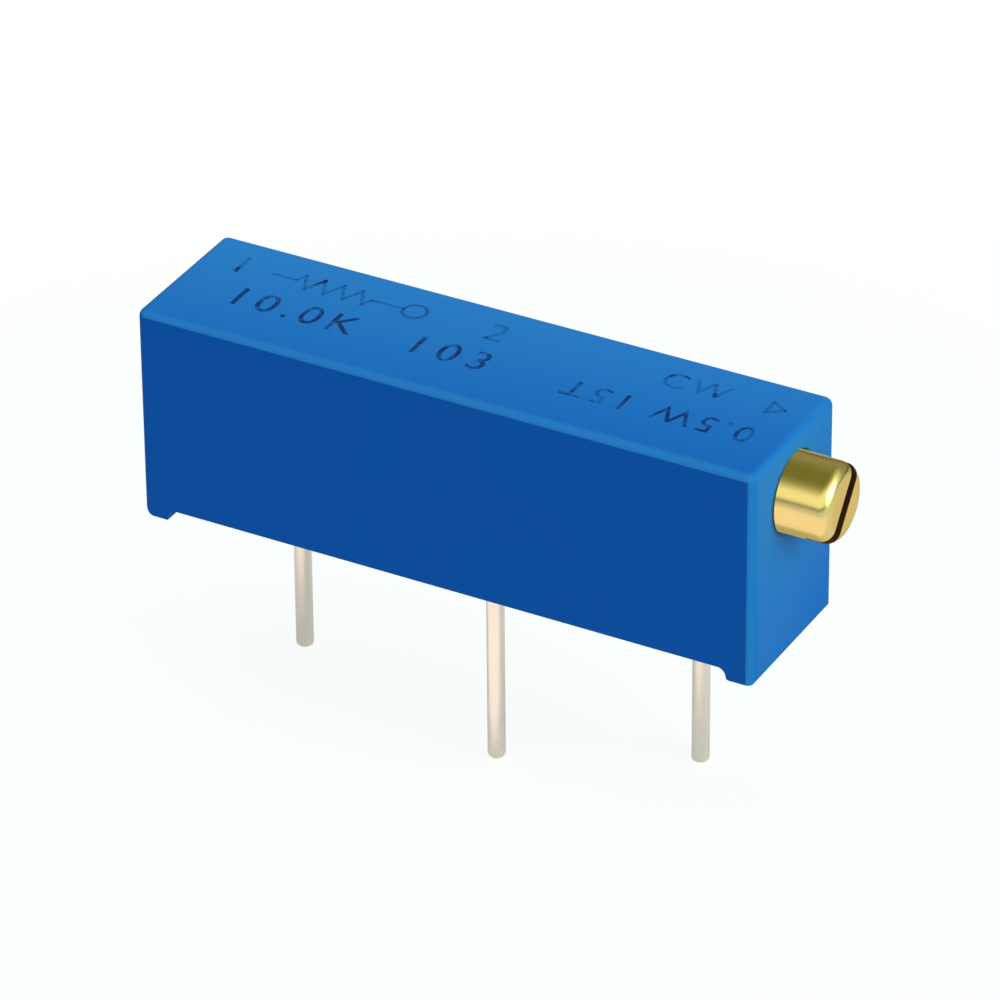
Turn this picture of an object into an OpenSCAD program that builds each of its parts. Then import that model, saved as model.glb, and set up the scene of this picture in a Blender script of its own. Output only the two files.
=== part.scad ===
// Multi-turn trimmer potentiometer for a printed board, sealed, with a side adjusting screw.
// Lengths are in millimetres. The origin is terminal 1's axis on the seating plane,
// +X runs to the screw end, +Z points up out of the top face.
// The sub-parts are drawn with X from the closed end, Y from the middle plane
// and Z from the seating plane, and in_frame() moves them to the origin.

/* [Housing] */
// Length of the housing
body_l = 19.05; // [18.95:0.05:22]
// Width of the housing
body_w = 4.83; // [4.7:0.01:6]
// Height of the housing from its underside to its top
body_h = 6.25; // [6.2:0.01:8]
// Height of the feet under the underside
foot_h = 0.38; // [0.34:0.01:0.7]
// Length of the flat sole of each foot
foot_l = 0.7; // [0.5:0.01:0.9]
// Radius round the sole of each foot
foot_r = 0.14; // [0.08:0.01:0.16]
// Radius of the long lower edges
sole_r = 0.06; // [0.02:0.01:0.12]
// Radius of the top edges
top_r = 0.28; // [0.1:0.01:0.35]
// Radius of the upright corners
corner_r = 0.25; // [0.15:0.01:0.6]
// Thickness of the side walls beside the carriage
side_wall = 0.72; // [0.6:0.01:0.8]
// Thickness of the side walls beside the base seal
skirt_wall = 0.48; // [0.35:0.01:0.55]
// Thickness of the top wall
top_wall = 0.55; // [0.4:0.01:0.6]
// Thickness of the end walls at the base
end_wall = 1.15; // [0.9:0.01:1.25]
// Thickness of the closed end that carries the screw's tail
tail_wall = 2.2; // [1.8:0.01:2.6]
// Thickness of the screw end that carries the seal and the clip
head_wall = 3.15; // [2.9:0.01:3.2]

/* [Adjusting screw] */
// Distance of the screw's axis below the top face
screw_drop = 1.72; // [1.6:0.01:1.9]
// Diameter of the head and of the shaft in the screw end
head_d = 2.3; // [2:0.01:2.35]
// Length of head that stands out of the housing
head_out = 1.52; // [0.8:0.01:3]
// Bevel round the end of the head
head_bevel = 0.16; // [0.05:0.01:0.25]
// Width of the screwdriver slot
slot_w = 0.42; // [0.3:0.01:0.6]
// Depth of the screwdriver slot
slot_deep = 0.79; // [0.4:0.01:0.79]
// Lean of the slot from upright with the carriage at mid travel
slot_lean = 37; // [0:1:180]
// Outside diameter of the thread
thread_d = 1.8; // [1.6:0.01:1.9]
// Plain neck between the thread and the shaft or the tail
thread_relief = 0.15; // [0.1:0.01:0.3]
// Diameter of the screw at the bottoms of its grooves
neck_d = 1.45; // [1.2:0.01:1.5]
// Diameter of the tail journal
tail_d = 1.1; // [0.9:0.01:1.2]
// Length of the tail journal inside its bearing
tail_l = 1.2; // [0.8:0.01:1.3]
// Length of shaft between the end face and the seal groove
outer_land = 0.7; // [0.5:0.01:0.75]
// Width of the seal groove
seal_groove = 0.75; // [0.6:0.01:0.8]
// Length of shaft between the seal groove and the clip groove
middle_land = 0.4; // [0.3:0.01:0.45]
// Width of the clip groove
clip_groove = 0.5; // [0.35:0.01:0.55]

/* [Carriage and contact spring] */
// Length of the carriage
carriage_l = 3.2; // [2.6:0.05:3.3]
// Height of the carriage's sides above the screw's axis
carriage_rise = 0.55; // [0.2:0.01:0.7]
// Height of the carriage's feet above the ceramic plate
carriage_ride = 0.48; // [0.4:0.01:0.6]
// Depth of the spring pocket under the carriage
pocket_deep = 0.42; // [0.35:0.01:0.6]
// Thickness of the spring strip
spring_t = 0.1; // [0.06:0.01:0.12]
// Width of each spring arm
arm_w = 0.28; // [0.2:0.01:0.35]

/* [Base] */
// Thickness of the ceramic plate
plate_t = 0.64; // [0.5:0.01:0.8]
// Depth of the base seal under the ceramic plate
seal_t = 0.8; // [0.6:0.01:1.1]
// Depth of the base seal's face above the underside of the walls
seal_sunk = 0.08; // [0.02:0.01:0.2]
// Thickness of the printed films
film_t = 0.03; // [0.02:0.01:0.05]
// Width of the printed tracks
track_w = 0.36; // [0.3:0.01:0.4]
// Overhang of the end pads past their terminals towards the track
pad_l = 1.4; // [1:0.05:1.5]
// Height of the solder joints
solder_h = 0.24; // [0.15:0.01:0.35]
// Radius of the solder joints on their pads
solder_r = 0.43; // [0.41:0.01:0.45]

/* [Terminals] */
// Diameter of the terminal pins
pin_d = 0.51; // [0.4:0.01:0.55]
// Length of the pins below the seating plane
pin_reach = 5.5; // [3:0.1:8]
// Distance of terminal 1 from the closed end
pin_1_inset = 2.95; // [2.2:0.01:3.5]
// Distance of terminal 3 from the screw end
pin_3_inset = 3.4; // [2.8:0.01:4]
// Distance from terminal 2 to terminal 3 along the housing
wiper_step = 5.08; // [3:0.01:8]
// Distance of the terminals from the long side faces
pin_side = 1.145; // [1.05:0.005:1.3]
// Rounding at the tips of the pins
tip_r = 0.1; // [0.05:0.01:0.15]
// Width across the flats of the square shank by which each pin is pressed into the ceramic plate
shank_w = 0.4; // [0.38:0.01:0.42]

/* [Clearances] */
// Gap between the shaft and its bore
shaft_gap = 0.05; // [0.03:0.01:0.08]
// Gap between the tail journal and its bearing
tail_gap = 0.05; // [0.03:0.01:0.08]
// Gap between the carriage and the walls beside it
guide_gap = 0.06; // [0.04:0.01:0.1]
// Gap between the thread and the carriage's saddle
thread_gap = 0.05; // [0.04:0.01:0.08]
// Gap round pieces that are set in place
seat_gap = 0.02; // [0.01:0.01:0.03]
// Gap between the contacts and the tracks
contact_gap = 0.01; // [0.01:0.01:0.03]
// Play of the clip in its groove and its slot
clip_gap = 0.04; // [0.03:0.01:0.06]
// Gap past the end of the tail journal
end_play = 0.12; // [0.05:0.01:0.2]
// Room round the solder joints under the housing's ledge
solder_room = 0.08; // [0.05:0.01:0.12]

/* [Hidden] */
$fn = 64;
over = 1;

housing_blue = [0.07, 0.36, 0.66];
seal_blue = [0.05, 0.22, 0.42];
ceramic_white = [0.93, 0.92, 0.88];
cermet_black = [0.12, 0.12, 0.12];
film_silver = [0.76, 0.76, 0.74];
pin_silver = [0.86, 0.84, 0.79];
solder_grey = [0.72, 0.72, 0.72];
brass = [0.85, 0.68, 0.32];
rubber_black = [0.1, 0.1, 0.1];
clip_bronze = [0.72, 0.52, 0.34];
carriage_white = [0.9, 0.89, 0.84];
spring_gold = [0.83, 0.7, 0.42];

// Heights
top_z = foot_h + body_h;
axis_z = top_z - screw_drop;
face_z = foot_h + seal_sunk;
plate_z = face_z + seal_t;
film_z = plate_z + plate_t;
ledge_z = film_z + film_t + seat_gap;
roof_z = top_z - top_wall;

// Seal drawn up round the pins, and the shoulder of each pin inside it
draw_h = 0.22;
draw_rim = 0.05;
shank_z = face_z - draw_h + seat_gap;
shank_r = shank_w / sqrt(2) + seat_gap;

// Corners inside the housing, and the lead-in of the bore
roof_r = 0.2;
base_r = 0.25;
lead_in = 0.08;

// Half widths, and the film shown round each solder joint
pad_rim = 0.04;
cavity_y = body_w / 2 - side_wall;
skirt_y = body_w / 2 - skirt_wall;
row_y = body_w / 2 - pin_side;
track_y = (row_y - solder_r - pad_rim) / 2;

// Places along the housing
pin_1_x = pin_1_inset;
pin_3_x = body_l - pin_3_inset;
pin_2_x = pin_3_x - wiper_step;
mid_x = (pin_1_x + pin_3_x) / 2;
inner_x = body_l - head_wall;
seal_groove_x = body_l - outer_land - seal_groove;
clip_groove_x = seal_groove_x - middle_land - clip_groove;
bore_d = head_d + 2 * shaft_gap;
thread_x0 = tail_wall + thread_relief;
thread_x1 = inner_x - thread_relief;
pad_1_end = pin_1_x + pad_l;
pad_3_end = pin_3_x - pad_l;

// Carriage
carriage_y = cavity_y - guide_gap;
carriage_z = film_z + carriage_ride;
pocket_z = carriage_z + pocket_deep;
spring_plate_l = 2 * carriage_l / 3;
bend_r = 0.2;
tip_bend_r = 0.18;

// Retaining clip
clip_leg = 0.6;
clip_y = neck_d / 2 + clip_gap + clip_leg;
clip_top = axis_z + 0.85;
clip_corner = 0.25;

module in_frame() {
    translate([-pin_1_x, -row_y, 0]) children();
}

// A cylinder along X on the screw's axis
module along_screw(d, x0, x1) {
    translate([x0, 0, axis_z]) rotate([0, 90, 0]) cylinder(d = d, h = x1 - x0);
}

// A box between two corners
module block(low, high) {
    translate(low) cube(high - low);
}

// Takes the square corner off a plane shape at the origin, where the shape fills +X and +Y
module corner_waste(r) {
    if (r > 0) difference() {
        translate([-over, -over]) square(r + over);
        translate([r, r]) circle(r);
    }
}

// Rectangle with the four corner radii given from low left, anticlockwise
module soft_rectangle(low, high, radii) {
    difference() {
        translate(low) square(high - low);
        translate(low) corner_waste(radii[0]);
        translate([high.x, low.y]) mirror([1, 0]) corner_waste(radii[1]);
        translate(high) rotate(180) corner_waste(radii[2]);
        translate([low.x, high.y]) mirror([0, 1]) corner_waste(radii[3]);
    }
}

// Plane shape in X and Z, carried across the width
module across(half) {
    rotate([90, 0, 0]) linear_extrude(2 * half, center = true) children();
}

// Plane shape in Y and Z, carried along X
module lengthways(x0, x1) {
    translate([x0, 0, 0]) rotate([90, 0, 90]) linear_extrude(x1 - x0) children();
}

// Side outline of the foot at the closed end: sole, rounded edges and the hollow up to the underside
module foot_outline() {
    hollow_r = foot_h - foot_r;
    soft_rectangle([0, 0], [foot_l, foot_h + over], [foot_r, foot_r, 0, 0]);
    difference() {
        translate([foot_l - foot_r, foot_h - hollow_r]) square([foot_r + hollow_r, hollow_r + over]);
        translate([foot_l + hollow_r, foot_h - hollow_r]) circle(hollow_r);
    }
}

module side_outline() {
    soft_rectangle([0, foot_h], [body_l, top_z], [0, 0, top_r, top_r]);
    foot_outline();
    translate([body_l, 0]) mirror([1, 0]) foot_outline();
}

// Outer form: side, end and plan outlines cut into each other
module housing_blank() {
    intersection() {
        across(body_w) side_outline();
        lengthways(-over, body_l + over)
            soft_rectangle([-body_w / 2, 0], [body_w / 2, top_z], [sole_r, sole_r, top_r, top_r]);
        translate([0, 0, -over]) linear_extrude(top_z + 2 * over)
            soft_rectangle([0, -body_w / 2], [body_l, body_w / 2],
                [corner_r, corner_r, corner_r, corner_r]);
    }
}

// Outline of the clip, or with a gap and a depth, of the slot that it stands in
module clip_outline(gap, deeper) {
    soft_rectangle([-clip_y - gap, ledge_z + seat_gap - deeper], [clip_y + gap, clip_top + gap],
        [0, 0, clip_corner, clip_corner]);
}

module housing() {
    color(housing_blue) in_frame() difference() {
        housing_blank();
        // Room for the carriage, with its roof corners rounded
        lengthways(tail_wall, inner_x)
            soft_rectangle([-cavity_y, ledge_z - over], [cavity_y, roof_z], [0, 0, roof_r, roof_r]);
        // Room for the ceramic plate and the seal below it
        translate([0, 0, -over]) linear_extrude(ledge_z + over)
            soft_rectangle([end_wall, -skirt_y], [body_l - end_wall, skirt_y],
                [base_r, base_r, base_r, base_r]);
        // Room over the solder joints
        at_pins(film_z - over)
            cylinder(r = solder_r + pad_rim + solder_room, h = over + film_t + solder_h + solder_room);
        // Bore for the shaft, its lead-in and the blind bearing of the tail
        along_screw(bore_d, inner_x - over, body_l + over);
        translate([body_l - lead_in, 0, axis_z]) rotate([0, 90, 0])
            cylinder(d1 = bore_d, d2 = bore_d + 4 * lead_in, h = 2 * lead_in);
        along_screw(tail_d + 2 * tail_gap, tail_wall - tail_l - end_play, tail_wall + over);
        // Slot that the clip goes up through
        lengthways(clip_groove_x, clip_groove_x + clip_groove) clip_outline(clip_gap, over);
    }
}

// Poured seal under the ceramic plate, drawn up a little round each pin
module base_seal() {
    color(seal_blue) in_frame() difference() {
        union() {
            translate([0, 0, face_z]) linear_extrude(seal_t - seat_gap)
                soft_rectangle([end_wall + seat_gap, seat_gap - skirt_y],
                    [body_l - end_wall - seat_gap, skirt_y - seat_gap],
                    [base_r, base_r, base_r, base_r]);
            at_pins(face_z - draw_h)
                cylinder(r1 = shank_r + draw_rim, r2 = shank_r + draw_h, h = draw_h + draw_rim);
        }
        shank_holes(-over, plate_z + over);
    }
}

module at_pins(z) {
    for (p = [[pin_1_x, row_y], [pin_2_x, -row_y], [pin_3_x, row_y]])
        translate([p.x, p.y, z]) children();
}

module shank_holes(z0, z1) {
    at_pins(z0) cylinder(r = shank_r, h = z1 - z0);
}

module ceramic_plate() {
    color(ceramic_white) in_frame() difference() {
        block([end_wall + base_r, seat_gap - skirt_y, plate_z],
            [body_l - end_wall - base_r, skirt_y - seat_gap, film_z]);
        shank_holes(plate_z - over, film_z + over);
    }
}

module resistance_track() {
    color(cermet_black) in_frame()
        block([pad_1_end, track_y - track_w / 2, film_z], [pad_3_end, track_y + track_w / 2, film_z + film_t]);
}

// Strip under the second contact, with a lobe round terminal 2
module collector_track() {
    lobe_r = solder_r + pad_rim;
    color(film_silver) in_frame() difference() {
        translate([0, 0, film_z]) linear_extrude(film_t) {
            translate([pad_1_end, -track_y - track_w / 2]) square([pad_3_end - pad_1_end, track_w]);
            translate([pin_2_x - lobe_r, -row_y]) square([2 * lobe_r, row_y - track_y]);
            translate([pin_2_x, -row_y]) circle(lobe_r);
        }
        shank_holes(film_z - over, film_z + over);
    }
}

// Pad from an end terminal to the end of the resistance track
module end_pad(pin_x, side) {
    back = solder_r + pad_rim;
    low_y = track_y - track_w / 2;
    color(film_silver) in_frame() difference() {
        translate([pin_x, 0, film_z]) mirror([side < 0 ? 1 : 0, 0, 0]) linear_extrude(film_t) {
            translate([-back, low_y]) square([back + pad_l, track_w]);
            translate([-back, low_y]) square([2 * back, row_y - low_y]);
            translate([0, row_y]) circle(back);
        }
        shank_holes(film_z - over, film_z + over);
    }
}

// Round pin with a rounded tip, and a square shank that stands through the ceramic plate
module terminal(x, y) {
    head_z = film_z + solder_h - film_t;
    color(pin_silver) in_frame() translate([x, y, 0]) {
        rotate_extrude() difference() {
            translate([0, -pin_reach]) square([pin_d / 2, shank_z + pin_reach]);
            translate([pin_d / 2, -pin_reach]) mirror([1, 0]) corner_waste(tip_r);
        }
        block([-shank_w / 2, -shank_w / 2, shank_z], [shank_w / 2, shank_w / 2, head_z]);
    }
}

// Solder drawn up round the shank on its pad
module solder_joint(x, y) {
    color(solder_grey) in_frame() translate([x, y, film_z + film_t]) rotate_extrude()
        polygon([[shank_r, 0], [solder_r, 0], [shank_r + pad_rim, solder_h], [shank_r, solder_h]]);
}

// Turned screw: slotted head and shaft, seal and clip grooves, thread, tail journal
module adjusting_screw() {
    color(brass) in_frame() difference() {
        union() {
            along_screw(head_d, seal_groove_x + seal_groove, body_l + head_out - head_bevel);
            translate([body_l + head_out - head_bevel, 0, axis_z]) rotate([0, 90, 0])
                cylinder(d1 = head_d, d2 = head_d - 2 * head_bevel, h = head_bevel);
            along_screw(head_d, clip_groove_x + clip_groove, seal_groove_x);
            along_screw(head_d, inner_x, clip_groove_x);
            along_screw(neck_d, inner_x, body_l);
            along_screw(thread_d, thread_x0, thread_x1);
            along_screw(tail_d, tail_wall - tail_l, body_l);
        }
        translate([body_l + head_out, 0, axis_z]) rotate([-slot_lean, 0, 0])
            block([-slot_deep, -slot_w / 2, -head_d], [over, slot_w / 2, head_d]);
    }
}

// Rubber ring squeezed between the groove and the bore
module shaft_seal() {
    r_in = neck_d / 2 + seat_gap;
    r_out = bore_d / 2 - seat_gap / 2;
    r_cord = (r_out - r_in) / 2;
    flat = (seal_groove - 2 * r_cord) / 3;
    color(rubber_black) in_frame() translate([seal_groove_x + seal_groove / 2, 0, axis_z])
        rotate([0, 90, 0]) rotate_extrude() {
            translate([r_in + r_cord, flat / 2]) circle(r_cord);
            translate([r_in + r_cord, -flat / 2]) circle(r_cord);
            translate([r_in, -flat / 2]) square([2 * r_cord, flat]);
        }
}

// Sheet fork that stands in the clip groove
module retaining_clip() {
    gap_y = neck_d / 2 + clip_gap;
    color(clip_bronze) in_frame()
        lengthways(clip_groove_x + clip_gap, clip_groove_x + clip_groove - clip_gap) difference() {
            clip_outline(0, 0);
            translate([0, axis_z]) circle(gap_y);
            translate([-gap_y, axis_z]) square([2 * gap_y, top_z]);
        }
}

// Moulded block that the thread drives, open above the screw and hollow below for the spring
module carriage() {
    saddle_r = thread_d / 2 + thread_gap;
    x0 = mid_x - carriage_l / 2;
    x1 = mid_x + carriage_l / 2;
    pocket_y = track_y + arm_w / 2 + 0.2;
    color(carriage_white) in_frame() difference() {
        lengthways(x0, x1) soft_rectangle([-carriage_y, carriage_z], [carriage_y, axis_z + carriage_rise],
            [0.15, 0.15, 0.15, 0.15]);
        along_screw(2 * saddle_r, x0 - over, x1 + over);
        block([x0 - over, -saddle_r, axis_z], [x1 + over, saddle_r, top_z]);
        block([x0 + 0.25, -pocket_y, carriage_z - over], [x1 - 0.25, pocket_y, pocket_z]);
    }
}

// Bent strip of thickness t along a line of points
function beside(path, i, d) = let (
    a = path[max(i - 1, 0)],
    b = path[min(i + 1, len(path) - 1)],
    way = (b - a) / norm(b - a)
) path[i] + d * [-way.y, way.x];
function strip(path, t) = concat(
    [for (i = [0:len(path) - 1]) beside(path, i, t / 2)],
    [for (i = [len(path) - 1:-1:0]) beside(path, i, -t / 2)]);
function arc(centre, r, a0, a1, steps) =
    [for (i = [0:steps]) let (a = a0 + (a1 - a0) * i / steps) centre + r * [cos(a), sin(a)]];

// Spring strip folded under the carriage, with two arms that end in rounded contacts
module contact_spring() {
    plate_z1 = pocket_z - seat_gap - spring_t / 2;
    tip_z = film_z + film_t + contact_gap + spring_t / 2 + tip_bend_r;
    bend_x = mid_x + spring_plate_l / 2 - bend_r;
    arm = concat(
        [[bend_x - 0.3, plate_z1]],
        arc([bend_x, plate_z1 - bend_r], bend_r, 90, -90, 8),
        arc([mid_x, tip_z], tip_bend_r, -60, -140, 6));
    plate_y = track_y + arm_w / 2;
    color(spring_gold) in_frame() {
        block([mid_x - spring_plate_l / 2, -plate_y, plate_z1 - spring_t / 2],
            [bend_x - 0.2, plate_y, plate_z1 + spring_t / 2]);
        for (y = [-track_y, track_y])
            translate([0, y, 0]) across(arm_w / 2) polygon(strip(arm, spring_t));
    }
}

housing();
base_seal();
ceramic_plate();
resistance_track();
collector_track();
end_pad(pin_1_x, 1);  // end_pad_1
end_pad(pin_3_x, -1);  // end_pad_3
terminal(pin_1_x, row_y);  // terminal_1
terminal(pin_2_x, -row_y);  // terminal_2
terminal(pin_3_x, row_y);  // terminal_3
solder_joint(pin_1_x, row_y);  // solder_joint_1
solder_joint(pin_2_x, -row_y);  // solder_joint_2
solder_joint(pin_3_x, row_y);  // solder_joint_3
adjusting_screw();
shaft_seal();
retaining_clip();
carriage();
contact_spring();
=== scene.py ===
"""The looks of a multi-turn trimmer potentiometer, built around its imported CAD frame.

Pieces are drawn in millimetres in the maker's own frame, with X from the closed end, Y from the
middle plane and Z from the seating plane. placed() then moves them to the row frame.
"""

import math

import bmesh
import bpy
from mathutils import Matrix, Vector


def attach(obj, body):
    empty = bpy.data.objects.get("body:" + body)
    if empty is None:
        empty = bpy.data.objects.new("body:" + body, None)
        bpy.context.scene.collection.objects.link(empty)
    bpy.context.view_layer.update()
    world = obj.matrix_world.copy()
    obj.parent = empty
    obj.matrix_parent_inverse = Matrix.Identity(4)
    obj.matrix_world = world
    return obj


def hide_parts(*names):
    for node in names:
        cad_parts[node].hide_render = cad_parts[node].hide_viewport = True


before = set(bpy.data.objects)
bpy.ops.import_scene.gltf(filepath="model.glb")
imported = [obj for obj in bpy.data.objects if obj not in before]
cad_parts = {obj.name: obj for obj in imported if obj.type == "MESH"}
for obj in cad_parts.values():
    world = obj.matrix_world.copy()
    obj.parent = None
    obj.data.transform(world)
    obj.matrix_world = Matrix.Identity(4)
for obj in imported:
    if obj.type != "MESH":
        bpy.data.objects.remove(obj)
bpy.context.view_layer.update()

MM = 0.001

# Housing, in millimetres
BODY_L = 19.05
BODY_W = 4.83
HALF_W = BODY_W / 2
TOP_Z = 6.63
CORNER_R = 0.25
TOP_R = 0.28
SOLE_R = 0.08
FOOT_H = 0.38
FOOT_L = 0.8
HOLLOW_R = 0.26
SIDE_WALL = 0.72
SKIRT_WALL = 0.48
SKIRT_R = 0.25
END_WALL = 1.15
TAIL_WALL = 2.2
INNER_X = 15.9
ROOF_Z = 6.08
ROOF_R = 0.2
LEDGE_Z = 1.95
SOLDER_ROOM_R = 0.55
SOLDER_ROOM_Z = 2.25

# Lower corners of the feet: the place, the way in which the foot lies from it, and the radius
FOOT_CORNERS = (
    (0, 1, 0.5),
    (FOOT_L, -1, 0.1),
    (BODY_L - FOOT_L, 1, 0.16),
    (BODY_L, -1, 0.16),
)

# Screw, clip and seal
AXIS_Z = 4.91
HEAD_R = 1.15
HEAD_OUT = 1.52
HEAD_BEVEL = 0.38
HEAD_END = BODY_L + HEAD_OUT
SLOT_W = 0.42
SLOT_DEEP = 0.79
SLOT_LEAN = 37
LAND_BEVEL = 0.03
NECK_R = 0.725
THREAD_R = 0.9
THREAD_RELIEF = 0.15
THREAD_BEVEL = 0.12
TAIL_R = 0.55
TAIL_X0 = 1.0
TAIL_BEVEL = 0.1
BORE_R = 1.2
BORE_LEAD_IN = 0.03
BEARING_X0 = 0.88
BEARING_GAP = 0.05
SEAL_X0, SEAL_X1 = 17.6, 18.35
CLIP_X0, CLIP_X1 = 16.7, 17.2
CLIP_Y = 1.365
CLIP_TOP = 5.76
CLIP_R = 0.25
CLIP_GAP = 0.04

# Base and terminals
FACE_Z = 0.46
SEAL_T = 0.8
SEAT_GAP = 0.02
PIN_R = 0.255
PIN_REACH = 5.5
TIP_R = {"1": 0.1, "2": 0.2, "3": 0.1}
SHANK_W = 0.4
SHANK_R = SHANK_W / math.sqrt(2) + SEAT_GAP
SHANK_Z = 0.26
SHANK_TOP = 2.11
COLLAR_H = 0.22
COLLAR_RIM = 0.05
COLLAR_FLARE = 0.22
ROW_Y = 1.27
PINS = {"1": (2.95, ROW_Y), "2": (10.57, -ROW_Y), "3": (15.65, ROW_Y)}

# Printing, in the thin space between the moulding and the top of the CAD frame
INK_SPACE = 0.006
INK_HALF = INK_SPACE * 0.35
STROKE_W = 0.1
REAR_ROW = 1.05
FRONT_ROW = -0.5
CAPITAL_SHARE = 0.7
SIGN_X0 = 2.4
ZIGZAG_X0 = 3.1
TEETH = 8
TOOTH_L = 0.3
TOOTH_H = 0.34
RING_X = 6.85
RING_R = 0.35
RING_SIDES = 16
ARROW_X = 17.75
ARROW_L = 0.45
ARROW_HALF = 0.3

# Printed words: the text, its middle along the housing, the height of a capital and the spacing
REAR_WORDS = (("1", 1.35, 0.9, 1.25), ("2", 9.4, 0.9, 1.25), ("CW", 15.5, 0.75, 1.25))
FRONT_WORDS = (("10.0K", 3.85, 0.95, 1.3), ("103", 8.75, 0.95, 1.4))
RATING_WORDS = ("0.5W 15T", 15.2, 0.8, 1.25)

# How far a tool reaches past what it cuts, and how far one turned part runs into the next
OVER = 1.0
LAP = 0.35

# How far a surface may turn at an edge that still looks smooth
SMOOTH_ANGLE = math.radians(35)

# The row frame has its origin on terminal 1's axis
ROW_ORIGIN = Vector((*PINS["1"], 0))
ROW_FRAME = Matrix.Scale(MM, 4) @ Matrix.Translation(-ROW_ORIGIN)


# Modelling by hand

def deselect():
    """Leaves edit mode with nothing selected."""
    if bpy.context.object and bpy.context.object.mode != "OBJECT":
        bpy.ops.object.mode_set(mode="OBJECT")
    bpy.ops.object.select_all(action="DESELECT")


def pick(obj):
    """Makes the piece the only selected and active one."""
    deselect()
    obj.select_set(True)
    bpy.context.view_layer.objects.active = obj


def box(name, low, high):
    """A box between two corners."""
    deselect()
    low, high = Vector(low), Vector(high)
    bpy.ops.mesh.primitive_cube_add(size=1, location=(low + high) / 2)
    obj = bpy.context.object
    obj.name = name
    obj.scale = high - low
    bpy.ops.object.transform_apply(location=True, rotation=True, scale=True)
    return obj


def rod(name, radius, start, end, sides=96, end_radius=None):
    """A round bar from one point to another, or a cone if the end has another radius."""
    deselect()
    start, end = Vector(start), Vector(end)
    way = end - start
    bpy.ops.mesh.primitive_cone_add(
        vertices=sides, radius1=radius, radius2=radius if end_radius is None else end_radius,
        depth=way.length, location=(start + end) / 2, rotation=way.to_track_quat("Z", "X").to_euler())
    obj = bpy.context.object
    obj.name = name
    bpy.ops.object.transform_apply(location=True, rotation=True, scale=True)
    return obj


def axis_rod(radius, x0, x1, sides=128, end_radius=None):
    """A round bar or a cone along the screw's axis."""
    return rod("tool", radius, (x0, 0, AXIS_Z), (x1, 0, AXIS_Z), sides, end_radius)


def select_edges(obj, wanted):
    """Opens the piece in edit mode with the edges that wanted() says yes to selected."""
    pick(obj)
    bpy.ops.object.mode_set(mode="EDIT")
    bpy.ops.mesh.select_mode(type="EDGE")
    bpy.ops.mesh.select_all(action="DESELECT")
    work = bmesh.from_edit_mesh(obj.data)
    for edge in work.edges:
        edge.select_set(wanted(edge))
    work.select_flush_mode()
    bmesh.update_edit_mesh(obj.data)


def round_edges(obj, wanted, radius, steps):
    """Rounds the edges that wanted() says yes to. One step gives a flat bevel."""
    select_edges(obj, wanted)
    bpy.ops.mesh.bevel(offset=radius, offset_type="OFFSET", segments=steps, profile=0.5,
                       affect="EDGES", clamp_overlap=True)
    bpy.ops.object.mode_set(mode="OBJECT")


def along(edge, axis):
    """True where the edge runs along that axis."""
    way = edge.verts[1].co - edge.verts[0].co
    return abs(abs(way[axis]) - way.length) < 1e-5


def at(edge, axis, *values):
    """True where both ends of the edge are at one of those coordinates."""
    return any(all(abs(v.co[axis] - value) < 1e-4 for v in edge.verts) for value in values)


def combine(obj, tool, how="DIFFERENCE"):
    """Cuts the tool out of the piece, or joins it on, and takes the tool away."""
    pick(obj)
    step = obj.modifiers.new("combine", "BOOLEAN")
    step.operation = how
    step.solver = "EXACT"
    step.object = tool
    bpy.ops.object.modifier_apply(modifier=step.name)
    bpy.data.objects.remove(tool, do_unlink=True)


def coated(obj, material):
    """Gives the piece one finish."""
    obj.data.materials.clear()
    obj.data.materials.append(material)


def placed(obj, material):
    """Merges doubles, smooths the rounded faces, and moves the piece to the row frame."""
    pick(obj)
    bpy.ops.object.mode_set(mode="EDIT")
    bpy.ops.mesh.select_all(action="SELECT")
    bpy.ops.mesh.remove_doubles(threshold=1e-5)
    bpy.ops.mesh.normals_make_consistent(inside=False)
    bpy.ops.object.mode_set(mode="OBJECT")
    bpy.ops.object.shade_smooth_by_angle(angle=SMOOTH_ANGLE, keep_sharp_edges=False)
    flat = obj.modifiers.new("flat_faces", "WEIGHTED_NORMAL")
    flat.keep_sharp = True
    flat.weight = 80
    bpy.ops.object.modifier_apply(modifier=flat.name)
    obj.data.transform(ROW_FRAME)
    coated(obj, material)


# Shader building blocks

def add(tree, kind, settings=None, wires=None):
    """A node with its settings, and its sockets set to values or joined to other sockets."""
    node = tree.nodes.new(kind)
    for key, value in (settings or {}).items():
        setattr(node, key, value)
    for key, value in (wires or {}).items():
        if isinstance(value, bpy.types.NodeSocket):
            tree.links.new(value, node.inputs[key])
        else:
            node.inputs[key].default_value = value
    return node


def calc(tree, operation, *values, clamp=False):
    """The result of some arithmetic on numbers or sockets."""
    settings = {"operation": operation, "use_clamp": clamp}
    return add(tree, "ShaderNodeMath", settings, dict(enumerate(values))).outputs[0]


def ranged(tree, value, start, end, low, high, smooth=False):
    """The value carried over from one range to another, and held at its ends."""
    settings = {"clamp": True, "interpolation_type": "SMOOTHSTEP" if smooth else "LINEAR"}
    wires = {"Value": value, "From Min": start, "From Max": end, "To Min": low, "To Max": high}
    return add(tree, "ShaderNodeMapRange", settings, wires).outputs["Result"]


def split(tree, vector):
    """The three numbers of a vector, by axis."""
    return add(tree, "ShaderNodeSeparateXYZ", {}, {"Vector": vector}).outputs


def noise(tree, place, scale, detail, roughness, distortion=0.0):
    """Strength of a cloudy noise at each place."""
    wires = {"Vector": place, "Scale": scale, "Detail": detail, "Roughness": roughness,
             "Distortion": distortion}
    return add(tree, "ShaderNodeTexNoise", {"noise_dimensions": "3D"}, wires).outputs["Fac"]


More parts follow.
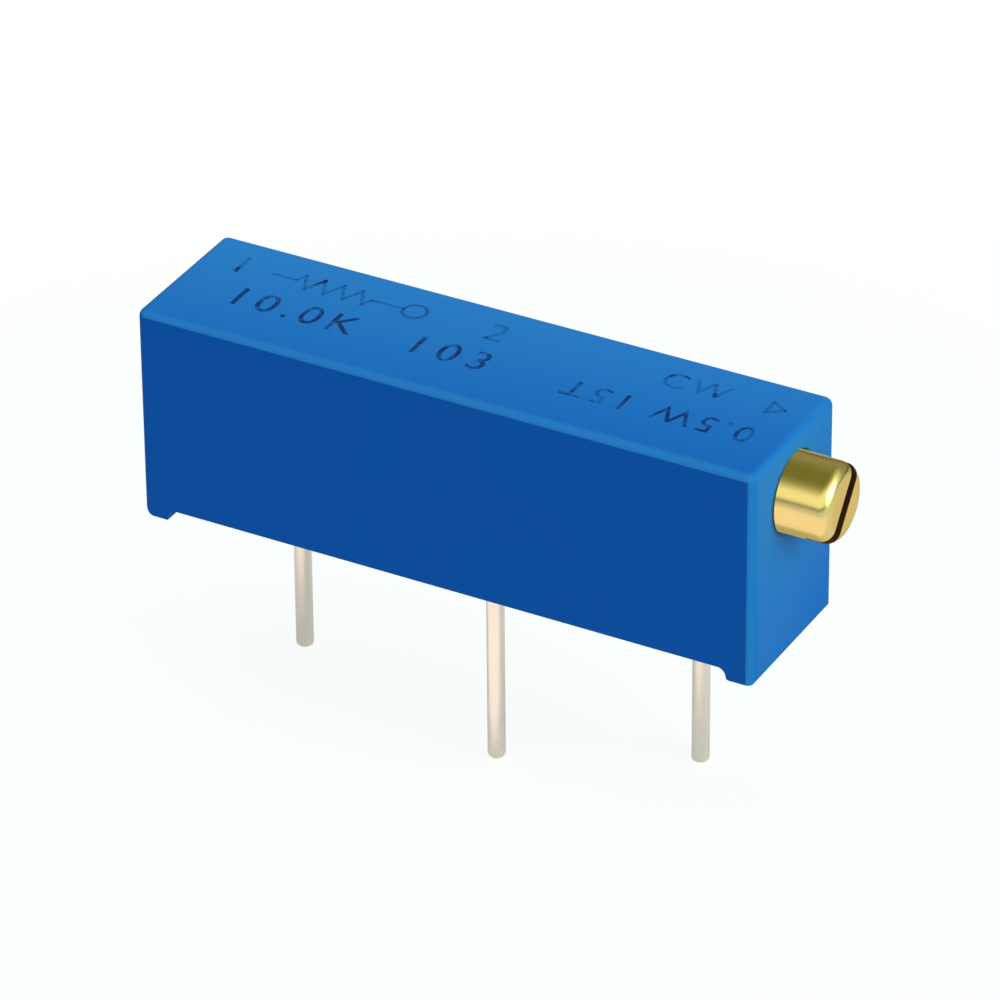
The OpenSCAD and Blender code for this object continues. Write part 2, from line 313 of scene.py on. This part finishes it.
def mixed_colour(tree, share, first, second):
    """The first colour where the share is 0 and the second where it is 1."""
    wires = {"Factor": share, "A": first, "B": second}
    return add(tree, "ShaderNodeMix", {"data_type": "RGBA"}, wires).outputs["Result"]


def mixed_shader(tree, share, first, second):
    """The first shader where the share is 0 and the second where it is 1."""
    return add(tree, "ShaderNodeMixShader", {}, {0: share, 1: first, 2: second}).outputs[0]


def linear(rgb):
    """Linear colour of a screen colour given in 0 to 255."""
    steps = [v / 255 for v in rgb]
    return tuple(v / 12.92 if v <= 0.04045 else ((v + 0.055) / 1.055) ** 2.4 for v in steps) + (1.0,)


# Shared effects

# Painted shadow round the screw's head: its colour, its middle, and the radii over which it fades
PAINTED_SHADOW = (8, 40, 66)
PAINTED_SHADOW_MIDDLE = (0.0, -ROW_Y - 0.19, AXIS_Z + 0.04)
PAINTED_SHADOW_R0, PAINTED_SHADOW_R1 = 1.08, 1.26
INK_BLUE = (24, 58, 118)


def new_group(name, inputs, outputs, vectors=("Position",)):
    """An empty node group with vector inputs, number inputs with their defaults, and number outputs."""
    group = bpy.data.node_groups.new(name, "ShaderNodeTree")
    for label in vectors:
        group.interface.new_socket(name=label, in_out="INPUT", socket_type="NodeSocketVector")
    for label, value in inputs.items():
        socket = group.interface.new_socket(name=label, in_out="INPUT", socket_type="NodeSocketFloat")
        socket.default_value = value
    for label in outputs:
        group.interface.new_socket(name=label, in_out="OUTPUT", socket_type="NodeSocketFloat")
    source = group.nodes.new("NodeGroupInput").outputs
    sink = group.nodes.new("NodeGroupOutput").inputs
    return group, source, sink


def mould_texture():
    """Fine spark-eroded grain of a moulded face, with a little unevenness in tone."""
    group, source, sink = new_group(
        "mould_texture", {"Grain Scale": 9.0, "Flow Scale": 0.35, "Flow Tone": 0.05},
        ("Height", "Tone", "Roughness Shift"))
    grain = noise(group, source["Position"], source["Grain Scale"], 3.0, 0.6)
    flow = noise(group, source["Position"], source["Flow Scale"], 2.0, 0.5, 0.6)
    centred = calc(group, "SUBTRACT", flow, 0.5)
    group.links.new(grain, sink["Height"])
    group.links.new(calc(group, "MULTIPLY_ADD", centred, source["Flow Tone"], 1.0), sink["Tone"])
    group.links.new(calc(group, "MULTIPLY", centred, 0.25), sink["Roughness Shift"])
    return group


def tool_lines():
    """Fine lines that a lathe tool or a drawing die leaves across or along a piece."""
    group, source, sink = new_group(
        "tool_lines", {"Scale X": 30.0, "Scale Y": 0.6, "Scale Z": 0.6, "Dulling": 0.15},
        ("Height", "Roughness Shift"))
    scale = add(group, "ShaderNodeCombineXYZ", {}, {axis: source["Scale " + axis] for axis in "XYZ"})
    stretched = add(group, "ShaderNodeVectorMath", {"operation": "MULTIPLY"},
                    {0: source["Position"], 1: scale.outputs[0]})
    smears = noise(group, source["Position"], 1.3, 3.0, 0.55)
    centred = calc(group, "SUBTRACT", smears, 0.5)
    group.links.new(noise(group, stretched.outputs[0], 1.0, 4.0, 0.7), sink["Height"])
    group.links.new(calc(group, "MULTIPLY", centred, source["Dulling"]), sink["Roughness Shift"])
    return group


def worn_print():
    """Pad print that has partly rubbed off: how much ink is left at each place."""
    group, source, sink = new_group(
        "worn_print", {"Patch Scale": 1.9, "Speck Scale": 7.0, "Wear": 0.5}, ("Ink",))
    patches = noise(group, source["Position"], source["Patch Scale"], 2.0, 0.5)
    specks = noise(group, source["Position"], source["Speck Scale"], 2.0, 0.6)
    both = calc(group, "MULTIPLY_ADD", specks, 0.45, patches)
    group.links.new(ranged(group, both, source["Wear"], 1.0, 0.1, 0.9), sink["Ink"])
    return group


def painted_light_and_shade():
    """How much painted highlight and painted light each place of the housing gets, and where a painted
    shadow sits round the screw.
    """
    group, source, sink = new_group(
        "painted_light_and_shade", {"Top Edge": 0.3}, ("Painted Light", "Painted Shadow"), ("Position", "Normal"))
    facing = split(group, source["Normal"])
    spot = split(group, source["Position"])
    low = Vector((0, -HALF_W, 0)) - ROW_ORIGIN
    high = Vector((BODY_L, HALF_W, TOP_Z)) - ROW_ORIGIN

    def fade(axis, low_share, high_share):
        """A share that changes evenly from the housing's low side to its high side."""
        side = "XYZ".index(axis)
        return ranged(group, spot[axis], low[side], high[side], low_share, high_share)

    def on_face(axis, first, second):
        """Two fades together, on the face that looks along the axis."""
        both = calc(group, "ADD", first, second, clamp=True)
        return calc(group, "MULTIPLY", facing[axis], both, clamp=True)

    # Painted highlight: the front edges are lightest just before they turn into the front face
    front = calc(group, "MULTIPLY", facing["Y"], -1.0)
    turning = calc(group, "MULTIPLY", ranged(group, front, 0.02, 0.96, 0.0, 1.0),
                   ranged(group, front, 0.97, 0.995, 1.0, 0.0))
    outward = ranged(group, calc(group, "ADD", facing["X"], facing["Z"]), 0.0, 0.2, 0.0, 1.0)
    front_edges = calc(group, "MULTIPLY", turning, outward)
    # The edge between the top and the screw's end leans both ways, and gets a painted highlight
    both_ways = calc(group, "MINIMUM", facing["X"], facing["Z"])
    top_edge = ranged(group, both_ways, 0.05, 0.6, 0.0, source["Top Edge"])
    # Painted light: the top is lighter towards the back and the closed end, the screw's end lighter
    # towards the top and the front
    top = on_face("Z", fade("Y", 0.0, 0.5), fade("X", 0.24, 0.0))
    screw_end = on_face("X", fade("Z", 0.0, 0.42), fade("Y", 0.18, 0.0))
    painted_light = calc(group, "MAXIMUM", calc(group, "MAXIMUM", front_edges, top_edge),
                  calc(group, "MAXIMUM", top, screw_end))
    group.links.new(painted_light, sink["Painted Light"])

    # A painted shadow sits on the screw's end, in a ring that lies a little to the front of the bore
    across = add(group, "ShaderNodeCombineXYZ", {}, {"Y": spot["Y"], "Z": spot["Z"]})
    from_shadow_middle = add(group, "ShaderNodeVectorMath", {"operation": "DISTANCE"},
                     {0: across.outputs[0], 1: PAINTED_SHADOW_MIDDLE}).outputs["Value"]
    painted_shadow_ring = ranged(group, from_shadow_middle, PAINTED_SHADOW_R0, PAINTED_SHADOW_R1, 0.85, 0.0, smooth=True)
    group.links.new(calc(group, "MULTIPLY", facing["X"], painted_shadow_ring, clamp=True), sink["Painted Shadow"])
    return group


GRAIN = mould_texture()
LINES = tool_lines()
PRINT = worn_print()
PAINTED_LIGHT_AND_SHADE = painted_light_and_shade()


# Finishes

def new_finish(name, constants):
    """A material with its Principled shader and the piece's own position in millimetres."""
    material = bpy.data.materials.new(name)
    material.use_nodes = True
    tree = material.node_tree
    tree.nodes.clear()
    shader = add(tree, "ShaderNodeBsdfPrincipled", {}, constants)
    add(tree, "ShaderNodeOutputMaterial", {}, {"Surface": shader.outputs[0]})
    place = add(tree, "ShaderNodeTexCoord")
    millimetres = add(tree, "ShaderNodeMapping", {"vector_type": "POINT"},
                      {"Vector": place.outputs["Object"], "Scale": (1000.0, 1000.0, 1000.0)})
    return material, tree, shader.inputs, millimetres.outputs["Vector"]


def effect(tree, group, wires):
    """The outputs of a shared effect for these inputs."""
    return add(tree, "ShaderNodeGroup", {"node_tree": group}, wires).outputs


def tinted(tree, rgb, tone):
    """The colour times a tone that changes over the surface."""
    wires = {"Vector": linear(rgb)[:3], "Scale": tone}
    return add(tree, "ShaderNodeVectorMath", {"operation": "SCALE"}, wires).outputs[0]


def with_bump(tree, shader, height, distance):
    """Lets a height lift the surface by up to that distance, in metres."""
    bump = add(tree, "ShaderNodeBump", {}, {"Height": height, "Distance": distance, "Strength": 1.0})
    tree.links.new(bump.outputs[0], shader["Normal"])


def with_painted_light(tree, place, colour, painted_light):
    """The colour lightened by painted highlights and painted light, and darkened by a painted shadow
    where the screw comes out.
    """
    facing = add(tree, "ShaderNodeTexCoord").outputs["Normal"]
    marks = effect(tree, PAINTED_LIGHT_AND_SHADE, {"Position": place, "Normal": facing})
    lightened = mixed_colour(tree, marks["Painted Light"], colour, linear(painted_light))
    return mixed_colour(tree, marks["Painted Shadow"], lightened, linear(PAINTED_SHADOW))


def moulded(name, rgb, roughness, grain_scale=9.0, grain_depth=0.000002, tone=0.06, painted_light=None,
            constants=None):
    """Moulded, poured or pressed stuff: plastic, epoxy, rubber and ceramic."""
    material, tree, shader, place = new_finish(name, constants or {})
    grain = effect(tree, GRAIN, {"Position": place, "Grain Scale": grain_scale, "Flow Tone": tone})
    colour = tinted(tree, rgb, grain["Tone"])
    # The housing gets its painted highlights, painted light and painted shadow here
    if painted_light:
        colour = with_painted_light(tree, place, colour, painted_light)
    tree.links.new(colour, shader["Base Color"])
    tree.links.new(calc(tree, "ADD", grain["Roughness Shift"], roughness), shader["Roughness"])
    with_bump(tree, shader, grain["Height"], grain_depth)
    return material


def metal(name, rgb, roughness, lines=(30.0, 0.6, 0.6), depth=0.000001, constants=None):
    """Turned, drawn or plated metal with its tool lines."""
    material, tree, shader, place = new_finish(name, {"Metallic": 1.0, **(constants or {})})
    worked = effect(tree, LINES, {"Position": place, "Scale X": lines[0], "Scale Y": lines[1],
                                  "Scale Z": lines[2]})
    grain = effect(tree, GRAIN, {"Position": place, "Grain Scale": 14.0, "Flow Scale": 0.8,
                                 "Flow Tone": 0.08})
    tree.links.new(tinted(tree, rgb, grain["Tone"]), shader["Base Color"])
    tree.links.new(calc(tree, "ADD", worked["Roughness Shift"], roughness), shader["Roughness"])
    with_bump(tree, shader, worked["Height"], depth)
    return material


def ink(name, wear):
    """Dark pad print, thin and partly worn away."""
    material, tree, shader, place = new_finish(name, {"Roughness": 0.6, "Specular IOR Level": 0.2})
    left = effect(tree, PRINT, {"Position": place, "Wear": wear})
    grain = effect(tree, GRAIN, {"Position": place, "Grain Scale": 12.0, "Flow Scale": 1.2,
                                 "Flow Tone": 0.3})
    tree.links.new(tinted(tree, INK_BLUE, grain["Tone"]), shader["Base Color"])
    tree.links.new(left["Ink"], shader["Alpha"])
    return material


# The lighter blue is painted light on the housing's edges, top and screw end
HOUSING_BLUE = moulded("moulded_blue_plastic", (31, 110, 185), 0.46, grain_scale=7.0,
                       grain_depth=0.0000015, tone=0.05, painted_light=(63, 147, 203),
                       constants={"Specular IOR Level": 0.03})
SEAL_BLUE = moulded("poured_blue_epoxy", (14, 66, 128), 0.3, grain_scale=2.0, grain_depth=0.000006,
                    tone=0.15)
CERAMIC = moulded("fired_alumina", (238, 236, 228), 0.7, grain_scale=20.0, grain_depth=0.000004)
CERMET = moulded("printed_cermet", (30, 30, 32), 0.45, grain_scale=26.0, grain_depth=0.000004)
RUBBER = moulded("seal_rubber", (26, 26, 26), 0.65, grain_scale=10.0, grain_depth=0.000003)
CARRIAGE = moulded("carriage_plastic", (232, 229, 216), 0.55, grain_scale=8.0)
BRASS = metal("turned_brass", (240, 206, 132), 0.2, lines=(34.0, 0.5, 0.5), depth=0.0000016,
              constants={"Specular Tint": (0.75, 0.6, 0.4, 1.0)})
# Rougher sawn brass for the slot; its dark colour is painted shade in the slot
SAWN_SHADED_BRASS = metal("sawn_slot_brass_painted_shade", (122, 76, 54), 0.5, lines=(4.0, 4.0, 4.0), depth=0.000003)
PIN = metal("tinned_wire", (252, 229, 211), 0.34, lines=(5.0, 5.0, 0.4), depth=0.0000008)
FILM = metal("printed_silver", (200, 198, 192), 0.42, lines=(14.0, 14.0, 14.0))
SOLDER = metal("bright_solder", (205, 205, 203), 0.22, lines=(3.0, 3.0, 3.0), depth=0.000002)
CLIP = metal("rolled_bronze", (206, 156, 104), 0.3, lines=(0.8, 16.0, 0.8))
SPRING = metal("rolled_spring_alloy", (222, 190, 118), 0.24, lines=(0.6, 20.0, 0.6))
INK = ink("pad_print", 0.6)
FAINT_INK = ink("rubbed_pad_print", 0.84)


# Pieces

def outer_form():
    """The housing's block with its upright corners, top edges and soles rounded."""
    top = TOP_Z - INK_SPACE
    body = box("housing_moulding", (0, -HALF_W, 0), (BODY_L, HALF_W, top))

    def outer(edge):
        """True where one of the edge's faces is an outer wall, from low down up to the top."""
        heights = [[v.co.z for v in face.verts] for face in edge.link_faces]
        return any(max(values) - min(values) > TOP_Z / 2 for values in heights)

    round_edges(body, lambda e: along(e, 2), CORNER_R, 12)
    round_edges(body, lambda e: at(e, 2, top) and outer(e), TOP_R, 8)
    round_edges(body, lambda e: at(e, 2, 0) and outer(e), SOLE_R, 4)
    return body


def shape_feet(body):
    """Cuts the underside up between the two feet, and rounds the feet's lower corners."""
    hollow = box("tool", (FOOT_L, -BODY_W, -OVER), (BODY_L - FOOT_L, BODY_W, FOOT_H))
    round_edges(hollow, lambda e: along(e, 1) and at(e, 2, FOOT_H), HOLLOW_R, 10)
    combine(body, hollow)
    for corner, inward, radius in FOOT_CORNERS:
        # The round tool stays just off the sole, because touching faces spoil the cut
        reach = radius * 0.98
        middle = corner + inward * reach
        ends = sorted((corner - inward * OVER, middle))
        waste = box("tool", (ends[0], -BODY_W, -OVER), (ends[1], BODY_W, reach))
        combine(waste, rod("tool", radius, (middle, -BODY_W - OVER, reach),
                           (middle, BODY_W + OVER, reach), 64))
        combine(body, waste)


def hollow_out(body):
    """Cuts the rooms for carriage, base and solder, then the bore, the bearing and the clip's slot."""
    room = box("tool", (TAIL_WALL, -HALF_W + SIDE_WALL, LEDGE_Z - OVER),
               (INNER_X, HALF_W - SIDE_WALL, ROOF_Z))
    round_edges(room, lambda e: along(e, 0) and at(e, 2, ROOF_Z), ROOF_R, 6)
    combine(body, room)
    base = box("tool", (END_WALL, -HALF_W + SKIRT_WALL, -OVER),
               (BODY_L - END_WALL, HALF_W - SKIRT_WALL, LEDGE_Z))
    round_edges(base, lambda e: along(e, 2), SKIRT_R, 8)
    combine(body, base)
    for x, y in PINS.values():
        combine(body, rod("tool", SOLDER_ROOM_R, (x, y, LEDGE_Z - OVER), (x, y, SOLDER_ROOM_Z), 48))
    combine(body, axis_rod(BORE_R, INNER_X - OVER, BODY_L + OVER))
    combine(body, axis_rod(BORE_R, BODY_L - BORE_LEAD_IN, BODY_L + BORE_LEAD_IN,
                           end_radius=BORE_R + 2 * BORE_LEAD_IN))
    combine(body, axis_rod(TAIL_R + BEARING_GAP, BEARING_X0, TAIL_WALL + OVER, 64))
    slot_y, slot_top = CLIP_Y + CLIP_GAP, CLIP_TOP + CLIP_GAP
    fork = box("tool", (CLIP_X0, -slot_y, LEDGE_Z - OVER), (CLIP_X1, slot_y, slot_top))
    round_edges(fork, lambda e: along(e, 0) and at(e, 2, slot_top), CLIP_R, 8)
    combine(body, fork)


def housing():
    """One moulding, from its feet to its rooms and bores."""
    body = outer_form()
    shape_feet(body)
    hollow_out(body)
    placed(body, HOUSING_BLUE)
    # The brass and the pins mirror the studio alone
    body.visible_glossy = False
    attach(body, "case")
    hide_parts("housing")


def turned_bar(radius, x0, x1, bevelled=(), bevel=LAND_BEVEL, steps=2, sides=128):
    """A length of the screw, with the edges at the given places broken."""
    bar = axis_rod(radius, x0, x1, sides)
    if bevelled:
        round_edges(bar, lambda e: at(e, 0, *bevelled), bevel, steps)
    return bar


def turned_screw():
    """Head and shaft, the two lands, the neck in the grooves, the thread's core and the tail."""
    thread_x0, thread_x1 = TAIL_WALL + THREAD_RELIEF, INNER_X - THREAD_RELIEF
    screw = turned_bar(HEAD_R, SEAL_X1, HEAD_END, (HEAD_END,), HEAD_BEVEL, 6)
    screw.name = "screw_turned"
    round_edges(screw, lambda e: at(e, 0, SEAL_X1), LAND_BEVEL, 2)
    parts = (
        turned_bar(HEAD_R, CLIP_X1, SEAL_X0, (CLIP_X1, SEAL_X0)),
        turned_bar(HEAD_R, INNER_X, CLIP_X0, (INNER_X, CLIP_X0)),
        turned_bar(NECK_R, thread_x1, SEAL_X1 + LAP),
        turned_bar(THREAD_R, thread_x0, thread_x1, (thread_x0, thread_x1), THREAD_BEVEL, 1, 96),
        turned_bar(TAIL_R, TAIL_X0, thread_x0 + LAP, (TAIL_X0,), TAIL_BEVEL, 3, 64),
    )
    for part in parts:
        combine(screw, part, "UNION")
    return screw


def adjusting_screw():
    """One turned brass piece with a sawn slot in its head."""
    screw = turned_screw()
    slot = box("tool", (HEAD_END - SLOT_DEEP, -SLOT_W / 2, AXIS_Z - 2 * HEAD_R),
               (HEAD_END + OVER, SLOT_W / 2, AXIS_Z + 2 * HEAD_R))
    lean = Matrix.Rotation(math.radians(SLOT_LEAN), 4, "X").inverted()
    on_axis = Matrix.Translation((0, 0, AXIS_Z))
    slot.data.transform(on_axis @ lean @ on_axis.inverted())
    combine(screw, slot)
    placed(screw, BRASS)

    # The slot's walls and floor get a rougher sawn finish, darker as painted shade in the slot
    screw.data.materials.append(SAWN_SHADED_BRASS)
    centre = ROW_FRAME @ Vector((HEAD_END, 0, AXIS_Z))
    across = lean.to_3x3() @ Vector((0, 1, 0))
    slack = 1e-6
    for face in screw.data.polygons:
        way = face.center - centre
        sunk = -SLOT_DEEP * MM - slack < way.x < -slack
        if sunk and abs(way.dot(across)) < SLOT_W / 2 * MM + slack:
            face.material_index = 1
    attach(screw, "screw")
    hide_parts("adjusting_screw")


def terminal(number, x, y):
    """A round pin with a square shank in the seal."""
    pin = rod("pin_" + number, PIN_R, (x, y, -PIN_REACH), (x, y, SHANK_Z), 64)
    round_edges(pin, lambda e: at(e, 2, -PIN_REACH), TIP_R[number], 8)
    half = SHANK_W / 2
    shank = box("tool", (x - half, y - half, SHANK_Z - half / 2), (x + half, y + half, SHANK_TOP))
    combine(pin, shank, "UNION")
    placed(pin, PIN)
    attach(pin, "case")
    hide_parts("terminal_" + number)


def base_seal():
    """The poured epoxy, which creeps a little way down each pin."""
    edge = HALF_W - SKIRT_WALL - SEAT_GAP
    pour = box("seal_pour", (END_WALL + SEAT_GAP, -edge, FACE_Z),
               (BODY_L - END_WALL - SEAT_GAP, edge, FACE_Z + SEAL_T - SEAT_GAP))
    round_edges(pour, lambda e: along(e, 2), SKIRT_R, 8)
    for x, y in PINS.values():
        combine(pour, rod("tool", SHANK_R + COLLAR_RIM, (x, y, FACE_Z - COLLAR_H),
                          (x, y, FACE_Z + COLLAR_RIM), 48, SHANK_R + COLLAR_FLARE), "UNION")
    for x, y in PINS.values():
        combine(pour, rod("tool", SHANK_R, (x, y, -OVER), (x, y, SHANK_TOP), 48))
    placed(pour, SEAL_BLUE)
    pour.visible_glossy = False
    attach(pour, "case")
    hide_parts("base_seal")


def on_top(x, y, angle):
    """The move that turns a mark and lays it on the top face."""
    return Matrix.Translation((x, y, TOP_Z - INK_SPACE / 2)) @ Matrix.Rotation(angle, 4, "Z")


def lettering(text, x, height, spacing, y, turned=False):
    """Text that reads from the long side by terminal 2, or from the other if it is turned."""
    deselect()
    bpy.ops.object.text_add(location=(0, 0, 0))
    curve = bpy.context.object.data
    curve.body = text
    curve.size = height / CAPITAL_SHARE
    curve.space_character = spacing
    curve.align_x = "CENTER"
    curve.align_y = "CENTER"
    curve.resolution_u = 6
    curve.extrude = INK_HALF
    bpy.ops.object.convert(target="MESH")
    label = bpy.context.object
    label.data.transform(on_top(x, y, math.pi if turned else 0))
    return label


def stroke(points):
    """A printed line through the points."""
    pieces = []
    half = STROKE_W / 2
    for (x0, y0), (x1, y1) in zip(points, points[1:]):
        length = math.hypot(x1 - x0, y1 - y0)
        bar = box("tool", (-half, -half, -INK_HALF), (length + half, half, INK_HALF))
        bar.data.transform(on_top(x0, y0, math.atan2(y1 - y0, x1 - x0)))
        pieces.append(bar)
    return pieces


def print_piece(name, marks, material):
    """Joins the marks of one row into one piece."""
    deselect()
    for mark in marks:
        mark.select_set(True)
    bpy.context.view_layer.objects.active = marks[0]
    bpy.ops.object.join()
    marking = bpy.context.object
    marking.name = name
    marking.data.transform(ROW_FRAME)
    coated(marking, material)
    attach(marking, "case")


def resistor_sign():
    """A zigzag between two leads, the second of which ends at a ring."""
    zigzag = [(SIGN_X0, REAR_ROW), (ZIGZAG_X0, REAR_ROW)]
    for i in range(TEETH):
        side = 1 if i % 2 == 0 else -1
        zigzag.append((ZIGZAG_X0 + (i + 0.5) * TOOTH_L, REAR_ROW + side * TOOTH_H))
    zigzag += [(ZIGZAG_X0 + TEETH * TOOTH_L, REAR_ROW), (RING_X - RING_R, REAR_ROW)]
    turns = [i * math.tau / RING_SIDES for i in range(RING_SIDES + 1)]
    painted_shadow_ring = [(RING_X + RING_R * math.cos(t), REAR_ROW + RING_R * math.sin(t)) for t in turns]
    return stroke(zigzag) + stroke(painted_shadow_ring)


def turning_arrow():
    """A small triangle that points to the screw's end."""
    first = (ARROW_X, REAR_ROW - ARROW_HALF)
    return stroke([first, (ARROW_X, REAR_ROW + ARROW_HALF), (ARROW_X + ARROW_L, REAR_ROW), first])


def top_marking():
    """Generic marks: terminal numbers, the sign of a variable resistor, the turning way and ratings."""
    rear_marks = [lettering(*words, REAR_ROW) for words in REAR_WORDS]
    print_piece("rear_marking", rear_marks + resistor_sign() + turning_arrow(), FAINT_INK)
    front_marks = [lettering(*words, FRONT_ROW) for words in FRONT_WORDS]
    print_piece("front_marking", front_marks + [lettering(*RATING_WORDS, FRONT_ROW, turned=True)], INK)


def dress_inner_pieces():
    """Finishes for the CAD pieces that keep their own shape."""
    finishes = {
        "ceramic_plate": CERAMIC, "resistance_track": CERMET, "collector_track": FILM,
        "end_pad_1": FILM, "end_pad_3": FILM, "solder_joint_1": SOLDER, "solder_joint_2": SOLDER,
        "solder_joint_3": SOLDER, "shaft_seal": RUBBER, "retaining_clip": CLIP,
        "carriage": CARRIAGE, "contact_spring": SPRING,
    }
    for node, material in finishes.items():
        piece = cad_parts[node]
        coated(piece, material)
        piece.visible_glossy = False


# Studio, in metres

PART_MIDDLE = Vector((0.0065, -0.00127, 0.003))
FLOOR_MIDDLE = (0.0065, -0.00127, 0.0)
FLOOR_Z = -PIN_REACH * MM - 0.00002
FLOOR_SIZE = 6

CAMERA_AIM = Vector((0.007095, -0.00127, 0.002048))
CAMERA_DISTANCE = 0.196515
CAMERA_AZIMUTH = math.radians(28.824)
CAMERA_ELEVATION = math.radians(31.662)
CAMERA_ROLL = math.radians(-0.508)
CAMERA_LENS = 257.35

LAMP_SIZE = 0.25

# What metal mirrors, from low down to overhead
MIRRORED_LOW = (0.1, 0.1, 0.08, 1)
MIRRORED_BRIGHT = (1.08, 1.24, 0.98, 1)
MIRRORED_OLIVE = (0.36, 0.44, 0.22, 1)
MIRRORED_HIGH = (0.19, 0.24, 0.08, 1)
MIRRORED_BANDS = (
    (0.05, MIRRORED_LOW),
    (0.17, MIRRORED_BRIGHT),
    (0.5, MIRRORED_BRIGHT),
    (0.74, MIRRORED_OLIVE),
    (0.87, MIRRORED_HIGH),
    (1.0, MIRRORED_HIGH),
)


def camera():
    """The view from the front, right and above."""
    data = bpy.data.cameras.new("studio_camera")
    data.lens = CAMERA_LENS
    data.sensor_width = 36
    data.clip_start = 0.001
    data.clip_end = 20
    cam = bpy.data.objects.new("studio_camera", data)
    bpy.context.scene.collection.objects.link(cam)
    az, el, roll = CAMERA_AZIMUTH, CAMERA_ELEVATION, CAMERA_ROLL
    back = Vector((math.sin(az) * math.cos(el), -math.cos(az) * math.cos(el), math.sin(el)))
    right = Vector((math.cos(az), math.sin(az), 0))
    up = back.cross(right)
    turned_right = right * math.cos(roll) + up * math.sin(roll)
    turned_up = up * math.cos(roll) - right * math.sin(roll)
    axes = Matrix((turned_right, turned_up, back)).transposed().to_4x4()
    cam.matrix_world = Matrix.Translation(CAMERA_AIM + back * CAMERA_DISTANCE) @ axes
    bpy.context.scene.camera = cam


def lamp(name, way, power, colour, mirrored):
    """A soft box that faces the middle of the part. Metal shows it if it is mirrored."""
    data = bpy.data.lights.new(name, "AREA")
    data.shape = "RECTANGLE"
    data.size = data.size_y = LAMP_SIZE
    data.energy = power
    data.color = colour
    obj = bpy.data.objects.new(name, data)
    bpy.context.scene.collection.objects.link(obj)
    obj.location = PART_MIDDLE + Vector(way)
    obj.rotation_mode = "QUATERNION"
    obj.rotation_quaternion = (-Vector(way)).to_track_quat("-Z", "Y")
    obj.visible_glossy = mirrored


def white_paper():
    """Paper that the camera sees evenly white, and that metal sees bright in front of the part."""
    material = bpy.data.materials.new("white_paper")
    material.use_nodes = True
    tree = material.node_tree
    tree.nodes.clear()
    place = add(tree, "ShaderNodeTexCoord").outputs["Object"]
    away = add(tree, "ShaderNodeVectorMath", {"operation": "DISTANCE"},
               {0: place, 1: FLOOR_MIDDLE}).outputs["Value"]
    ray = add(tree, "ShaderNodeLightPath").outputs
    # The camera sees the part's shadow faintly near it, and plain white from 60 mm out
    seen_white = ranged(tree, away, 0.02, 0.06, 0.82, 1.0, smooth=True)
    # Metal sees bright paper in front of the part, a painted pool of light, and darker paper under it
    # and far from it; under the part this is partly its real shadow and partly painted shade
    near = ranged(tree, away, 0.009, 0.018, 0.3, 0.55, smooth=True)
    in_front = ranged(tree, split(tree, place)["Y"], -0.0052, -0.0032, 1.0, 0.3, smooth=True)
    beyond = ranged(tree, away, 0.026, 0.06, 1.0, 0.2, smooth=True)
    mirrored_white = calc(tree, "MULTIPLY", calc(tree, "MAXIMUM", near, in_front), beyond)
    share = calc(tree, "MULTIPLY_ADD", ray["Is Glossy Ray"], mirrored_white,
                 calc(tree, "MULTIPLY", ray["Is Camera Ray"], seen_white))
    seen = calc(tree, "MAXIMUM", ray["Is Camera Ray"], ray["Is Glossy Ray"])
    tint = mixed_colour(tree, seen, (0.2, 0.28, 0.45, 1), (0.95, 0.87, 0.74, 1))
    paper = add(tree, "ShaderNodeBsdfDiffuse", {}, {"Color": tint})
    glow = add(tree, "ShaderNodeEmission", {}, {"Color": (1, 1, 1, 1), "Strength": 1.08})
    surface = mixed_shader(tree, share, paper.outputs[0], glow.outputs[0])
    add(tree, "ShaderNodeOutputMaterial", {}, {"Surface": surface})
    return material


def backdrop(tree, colour, strength):
    """Light from all round, plain or in bands."""
    wires = {"Color": colour, "Strength": strength}
    return add(tree, "ShaderNodeBackground", {}, wires).outputs[0]


def surroundings():
    """White for the camera, bands of light and dark for metal to mirror, and a soft blue light."""
    world = bpy.data.worlds.new("studio")
    bpy.context.scene.world = world
    world.use_nodes = True
    tree = world.node_tree
    tree.nodes.clear()
    way = split(tree, add(tree, "ShaderNodeTexCoord").outputs["Generated"])
    # The bands are level low down, and rise towards the screw's end higher up
    leaning = calc(tree, "ADD", way["Z"], calc(tree, "MULTIPLY_ADD", way["X"], -0.25, -0.1))
    level = calc(tree, "MAXIMUM", leaning, calc(tree, "MINIMUM", way["Z"], 0.3))
    ramp = add(tree, "ShaderNodeValToRGB", {}, {"Fac": level})
    stops = ramp.color_ramp.elements
    for i, (position, colour) in enumerate(MIRRORED_BANDS):
        stop = stops[i] if i < 2 else stops.new(position)
        stop.position = position
        stop.color = colour
    ray = add(tree, "ShaderNodeLightPath").outputs
    dimmed_behind = ranged(tree, way["Y"], 0.35, 0.75, 1.0, 0.3)
    lit = mixed_shader(tree, ray["Is Glossy Ray"], backdrop(tree, (0.42, 0.68, 1, 1), 0.71),
                       backdrop(tree, ramp.outputs["Color"], dimmed_behind))
    shown = mixed_shader(tree, ray["Is Camera Ray"], lit, backdrop(tree, (1, 1, 1, 1), 1.0))
    add(tree, "ShaderNodeOutputWorld", {}, {"Surface": shown})


def studio():
    """Floor, surroundings and lamps."""
    deselect()
    bpy.ops.mesh.primitive_plane_add(size=FLOOR_SIZE, location=(0, 0, FLOOR_Z))
    floor = bpy.context.object
    floor.name = "floor"
    floor.data.materials.append(white_paper())
    surroundings()
    lamp("top_box", way=(-0.035, -0.035, 0.346), power=0.215, colour=(1.0, 0.91, 0.74), mirrored=False)
    lamp("right_box", way=(0.317, -0.03, 0.132), power=0.8, colour=(0.5, 0.97, 0.78), mirrored=True)
    bpy.context.scene.view_settings.view_transform = "Standard"


housing()
adjusting_screw()
base_seal()
for pin_number, (pin_x, pin_y) in PINS.items():
    terminal(pin_number, pin_x, pin_y)
top_marking()
dress_inner_pieces()
camera()
studio()
